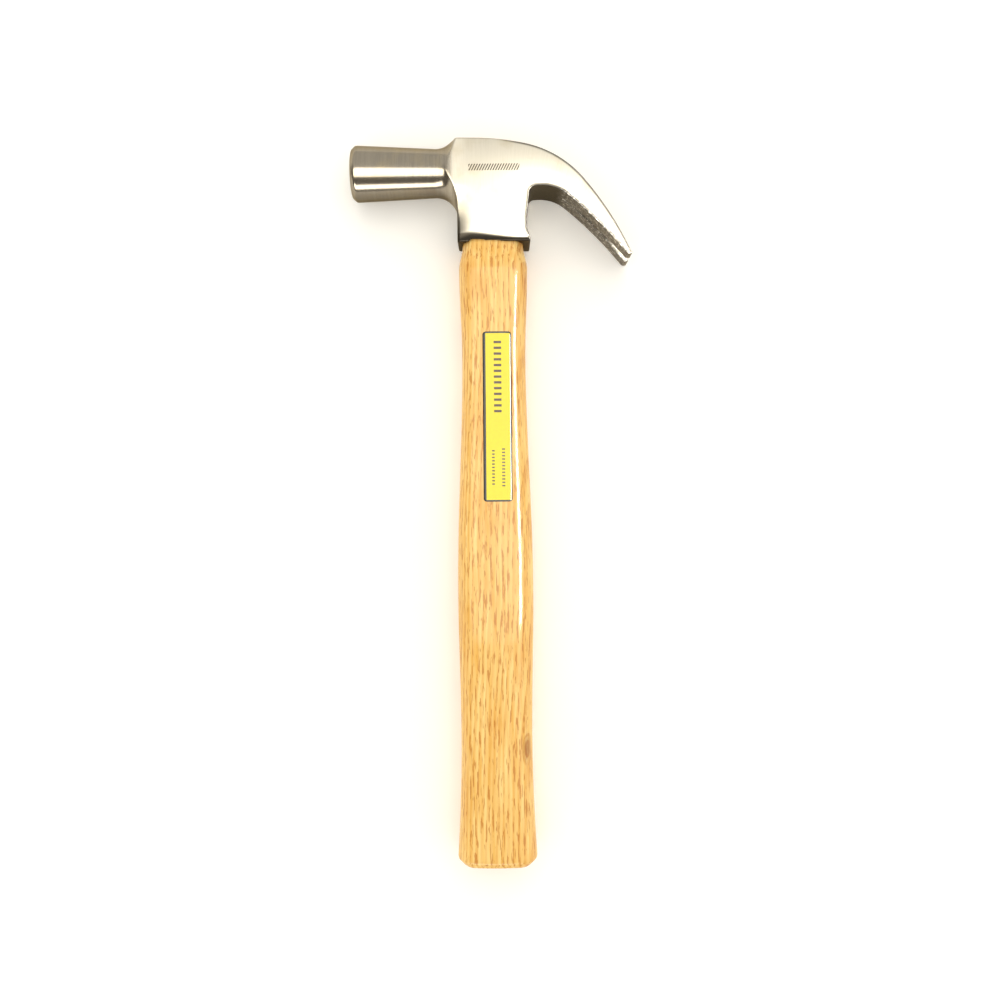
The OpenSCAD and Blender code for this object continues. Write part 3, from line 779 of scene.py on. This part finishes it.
def printed_box(x, y, half_x, half_y):
    """1 inside a printed rectangle, given by its middle and half sizes in mm."""
    in_x = add(film, "ShaderNodeMath", {
        0: spot["X"], 1: x * mm, 2: half_x * mm}, operation="COMPARE")["Value"]
    in_y = add(film, "ShaderNodeMath", {
        0: spot["Y"], 1: y * mm, 2: half_y * mm}, operation="COMPARE")["Value"]
    return add(film, "ShaderNodeMath", {0: in_x, 1: in_y}, operation="MULTIPLY")["Value"]


ink_wear = add(film, "ShaderNodeTexNoise", {
    "Vector": on_label, "Scale": 1 / (1.4 * mm), "Detail": 3, "Roughness": 0.6})["Fac"]
yellow = add(film, "ShaderNodeMix", {
    FACTOR: ink_wear, COLOUR_A: colour("#E2CC00"), COLOUR_B: colour("#ECDA00")}, data_type="RGBA")[COLOUR_OUT]
field = printed_box(0.35, 0, LABEL_WIDTH / 2 - 0.95, LABEL_LENGTH / 2 - 0.75)
framed = add(film, "ShaderNodeMix", {
    FACTOR: field, COLOUR_A: colour("#1B1A17"), COLOUR_B: yellow}, data_type="RGBA")[COLOUR_OUT]
print_colour = framed
INK_SHARE = 0.42  # of the spacing from one bar to the next
for row_x, row_y, half_bar, bars, spacing in (
        (0.2, 18, 1.7, 13, 2.6), (2.6, -23, 0.7, 12, 1.5), (-2.0, -23, 0.6, 11, 1.5)):
    half_row = (bars - 1 + INK_SHARE) * spacing / 2
    bar = printed_box(row_x, row_y, half_bar, half_row)
    from_row_end = add(film, "ShaderNodeMath", {
        0: spot["Y"], 1: (row_y - half_row) * mm}, operation="SUBTRACT")["Value"]
    bar_phase = add(film, "ShaderNodeMath", {
        0: add(film, "ShaderNodeMath", {0: from_row_end, 1: spacing * mm}, operation="DIVIDE")["Value"]},
        operation="FRACT")["Value"]
    bar_line = add(film, "ShaderNodeMath", {0: bar_phase, 1: INK_SHARE}, operation="LESS_THAN")["Value"]
    inked = add(film, "ShaderNodeMath", {0: bar, 1: bar_line}, operation="MULTIPLY")["Value"]
    print_colour = add(film, "ShaderNodeMix", {
        FACTOR: inked, COLOUR_A: print_colour, COLOUR_B: colour("#4A3420")}, data_type="RGBA")[COLOUR_OUT]
film_waves = add(film, "ShaderNodeTexNoise", {
    "Vector": on_label, "Scale": 1 / (5 * mm), "Detail": 2, "Roughness": 0.5})["Fac"]
pressed_on = add(film, "ShaderNodeBump", {
    "Height": film_waves, "Strength": 0.3, "Distance": 0.1 * mm})["Normal"]
film_surface = add(film, "ShaderNodeBsdfPrincipled", {
    "Base Color": print_colour, "Roughness": 0.14, "IOR": 1.5, "Specular IOR Level": 0.3,
    "Normal": pressed_on, "Coat Weight": 0.1, "Coat Roughness": 0.12})
add(film, "ShaderNodeOutputMaterial", {"Surface": film_surface["BSDF"]})
label.data.materials.append(film)
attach(label, "root")
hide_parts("label")

# ------------------------------------------------------------------------------------------
# Bench. A wide sheet of matt white acrylic under the hammer, not part of it. A little light
# comes up through it, so shadows on it stay faint.
# ------------------------------------------------------------------------------------------

BENCH_REACH = 6.0
mesh = bpy.data.meshes.new("white_bench")
bench_z = cad_box[0][2]
mesh.from_pydata([(x, y, bench_z) for x, y in (
    (-BENCH_REACH, -BENCH_REACH), (BENCH_REACH, -BENCH_REACH),
    (BENCH_REACH, BENCH_REACH), (-BENCH_REACH, BENCH_REACH))], [], [(0, 1, 2, 3)])
bench = bpy.data.objects.new("white_bench", mesh)
bpy.context.collection.objects.link(bench)
acrylic = empty_material("white_acrylic_matt")
milkiness = add(acrylic, "ShaderNodeTexNoise", {
    "Vector": add(acrylic, "ShaderNodeTexCoord")["Object"], "Scale": 1 / (60 * mm), "Detail": 2})["Fac"]
acrylic_colour = add(acrylic, "ShaderNodeMix", {
    FACTOR: milkiness, COLOUR_A: colour("#F4F1EA"), COLOUR_B: colour("#F7F5EF")},
    data_type="RGBA")[COLOUR_OUT]
acrylic_surface = add(acrylic, "ShaderNodeBsdfPrincipled", {
    "Base Color": acrylic_colour, "Roughness": 0.9, "Specular IOR Level": 0.1,
    "Emission Color": colour("#FFFCF6"), "Emission Strength": 0.14})
add(acrylic, "ShaderNodeOutputMaterial", {"Surface": acrylic_surface["BSDF"]})
bench.data.materials.append(acrylic)

# ------------------------------------------------------------------------------------------
# Light. Gloss shows a long softbox overhead, a bright one to the right that draws the line
# along the handle, a low strip in front, and a room that is paler behind than in front. Matt
# surfaces are lit by an even pale room and a weak key from beyond the head.
# ------------------------------------------------------------------------------------------

studio = bpy.data.worlds.new("studio_room")
studio.use_nodes = True
studio.node_tree.nodes.clear()
facing = add(studio, "ShaderNodeSeparateXYZ", {"Vector": add(studio, "ShaderNodeTexCoord")["Generated"]})
toward_back = add(studio, "ShaderNodeMath", {
    0: facing["X"], 1: 0.5, 2: facing["Y"]}, operation="MULTIPLY_ADD")["Value"]
pale_side = add(studio, "ShaderNodeMapRange", {
    "Value": toward_back, "From Min": -0.4, "From Max": 0.12}, interpolation_type="SMOOTHSTEP")["Result"]
room = add(studio, "ShaderNodeMix", {
    FACTOR: pale_side, COLOUR_A: (0.2, 0.185, 0.17, 1), COLOUR_B: (0.92, 0.91, 0.88, 1)},
    data_type="RGBA")[COLOUR_OUT]
glossy_ray = add(studio, "ShaderNodeLightPath")["Is Glossy Ray"]
backdrop = add(studio, "ShaderNodeMix", {
    FACTOR: glossy_ray, COLOUR_A: (1.06, 1.05, 1.02, 1), COLOUR_B: room}, data_type="RGBA")[COLOUR_OUT]
add(studio, "ShaderNodeOutputWorld", {
    "Surface": add(studio, "ShaderNodeBackground", {"Color": backdrop, "Strength": 1.0})["Background"]})
bpy.context.scene.world = studio

centre = [(a + b) / 2 for a, b in zip(*cad_box)]


def softbox(name, place, aim, width, height, radiance, tint, in_gloss=True, in_matt=True):
    """A rectangular lamp at place that faces aim; the camera itself doesn't see it."""
    lamp = bpy.data.lights.new(name, "AREA")
    lamp.shape = "RECTANGLE"
    lamp.size, lamp.size_y = width, height
    lamp.energy = math.pi * width * height * radiance
    lamp.color = tint[:3]
    made = bpy.data.objects.new(name, lamp)
    bpy.context.collection.objects.link(made)
    made.location = place
    toward = [b - a for a, b in zip(place, aim)]
    level = math.hypot(toward[0], toward[1])
    turn = math.atan2(-toward[0], toward[1]) if level > 1e-6 else 0
    made.rotation_euler = (math.atan2(level, -toward[2]), 0, turn)
    made.visible_camera = False
    made.visible_glossy = in_gloss
    made.visible_diffuse = in_matt
    return made


WARM_WHITE = colour("#FFFDF6")
softbox("overhead_softbox", (-0.2, 0.048, 0.67), (-0.2, 0.048, 0.0), 1.3, 0.42, 5, WARM_WHITE, in_matt=False)
softbox("side_softbox", (0.5, 0.05, 0.62), (0.0, 0.05, 0.0), 0.42, 0.4, 65, colour("#FFFFFF"), in_matt=False)
softbox("front_strip", (-0.4, -1.2, 0.56), (0.0, 0.15, 0.0), 1.4, 0.5, 6, colour("#FFFDF8"), in_matt=False)
softbox("key_softbox", (0.1, 1.1, 1.2), (0.0, 0.0, 0.0), 1.4, 1.4, 0.9, colour("#FFFAEE"), in_gloss=False)

# ------------------------------------------------------------------------------------------
# Camera. It looks straight down on the hammer from half a metre.
# ------------------------------------------------------------------------------------------

lens = bpy.data.cameras.new("camera")
lens.sensor_width = 36
lens.lens = 38.0
camera = bpy.data.objects.new("camera", lens)
bpy.context.collection.objects.link(camera)
camera.location = ((axis_x + 2.3) * mm, centre[1] + 1.5 * mm, bench_z + 0.5)
camera.rotation_euler = (0, 0, math.radians(-0.48))
bpy.context.scene.camera = camera
bpy.context.scene.view_settings.view_transform = "Standard"
